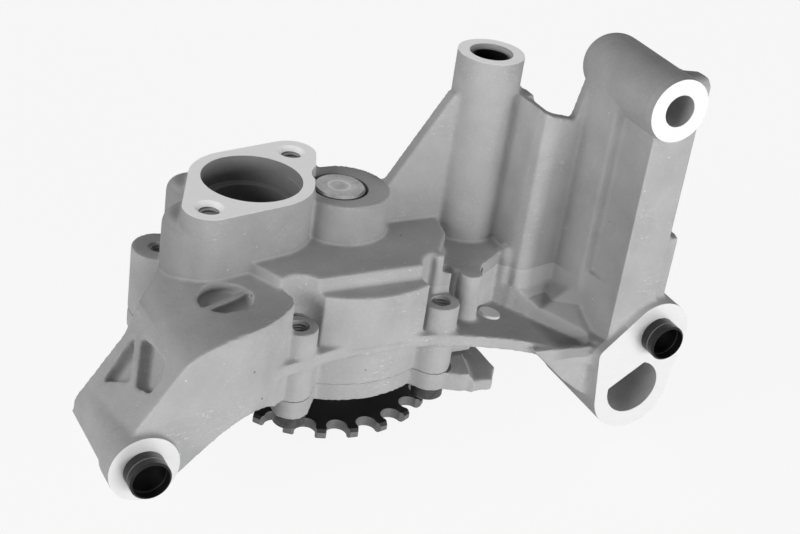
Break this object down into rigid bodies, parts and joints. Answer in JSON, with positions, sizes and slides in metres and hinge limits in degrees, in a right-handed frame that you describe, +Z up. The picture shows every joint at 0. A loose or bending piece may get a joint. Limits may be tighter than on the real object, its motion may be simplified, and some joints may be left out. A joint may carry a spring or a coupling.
{
  "type": "engine oil pump",
  "caption": "Chain-driven rotor oil pump with suction flange, relief valve and a cast bracket with sleeved pads.",
  "frame": {"origin": "centre of the chain sprocket on the drive shaft's axis", "axes": "+Z up the drive shaft to the suction flange, +X to the outlet pad, -Y out of the mounting pads"},
  "size_m": [0.1584, 0.0978, 0.1057],
  "materials": {
    "cast_aluminium": "cast",
    "soft_aluminium": "satin",
    "bright_steel": "ground",
    "dark_steel": "phosphated",
    "black_steel": "blackened",
    "sprocket_steel": "hardened",
    "sintered_steel": "sintered",
    "bush_bronze": "machined"
  },
  "bodies": {
    "housing": {"pump_body": "cast_aluminium", "pump_cover": "cast_aluminium", "body_shaft_bush": "bush_bronze", "cover_shaft_bush": "bush_bronze", "cover_bolts": "dark_steel", "cover_dowels": "bright_steel", "left_mount_sleeve": "black_steel", "right_mount_sleeve": "black_steel", "post_dowel_sleeve": "black_steel", "gallery_plug": "bright_steel", "relief_plug": "bright_steel", "relief_plug_seal": "soft_aluminium", "relief_spring": "bright_steel"},
    "drive": {"drive_shaft": "bright_steel", "drive_sprocket": "sprocket_steel", "sprocket_washer": "dark_steel", "sprocket_bolt": "dark_steel", "inner_rotor": "sintered_steel", "rotor_drive_pin": "bright_steel"},
    "ring": {"outer_rotor": "sintered_steel"},
    "relief": {"relief_piston": "bright_steel"}
  },
  "joints": [
    {"name": "drive_spin", "type": "hinge", "parent": "housing", "child": "drive", "pos_m": [0, 0, 0], "axis": [0, 0, 1], "continuous": true},
    {"name": "ring_spin", "type": "hinge", "parent": "housing", "child": "ring", "pos_m": [0, 0.0025, 0.015], "axis": [0, 0, 1], "continuous": true},
    {"name": "relief_slide", "type": "slide", "parent": "housing", "child": "relief", "axis": [0, 0, -1], "range_m": [0, 0.0046], "stiffness_N_per_m": 2000, "springref_m": -0.006, "deforming": ["relief_spring"]}
  ],
  "couplings": [
    {"joint": "ring_spin", "follows": "drive_spin", "ratio": 0.85714}
  ]
}
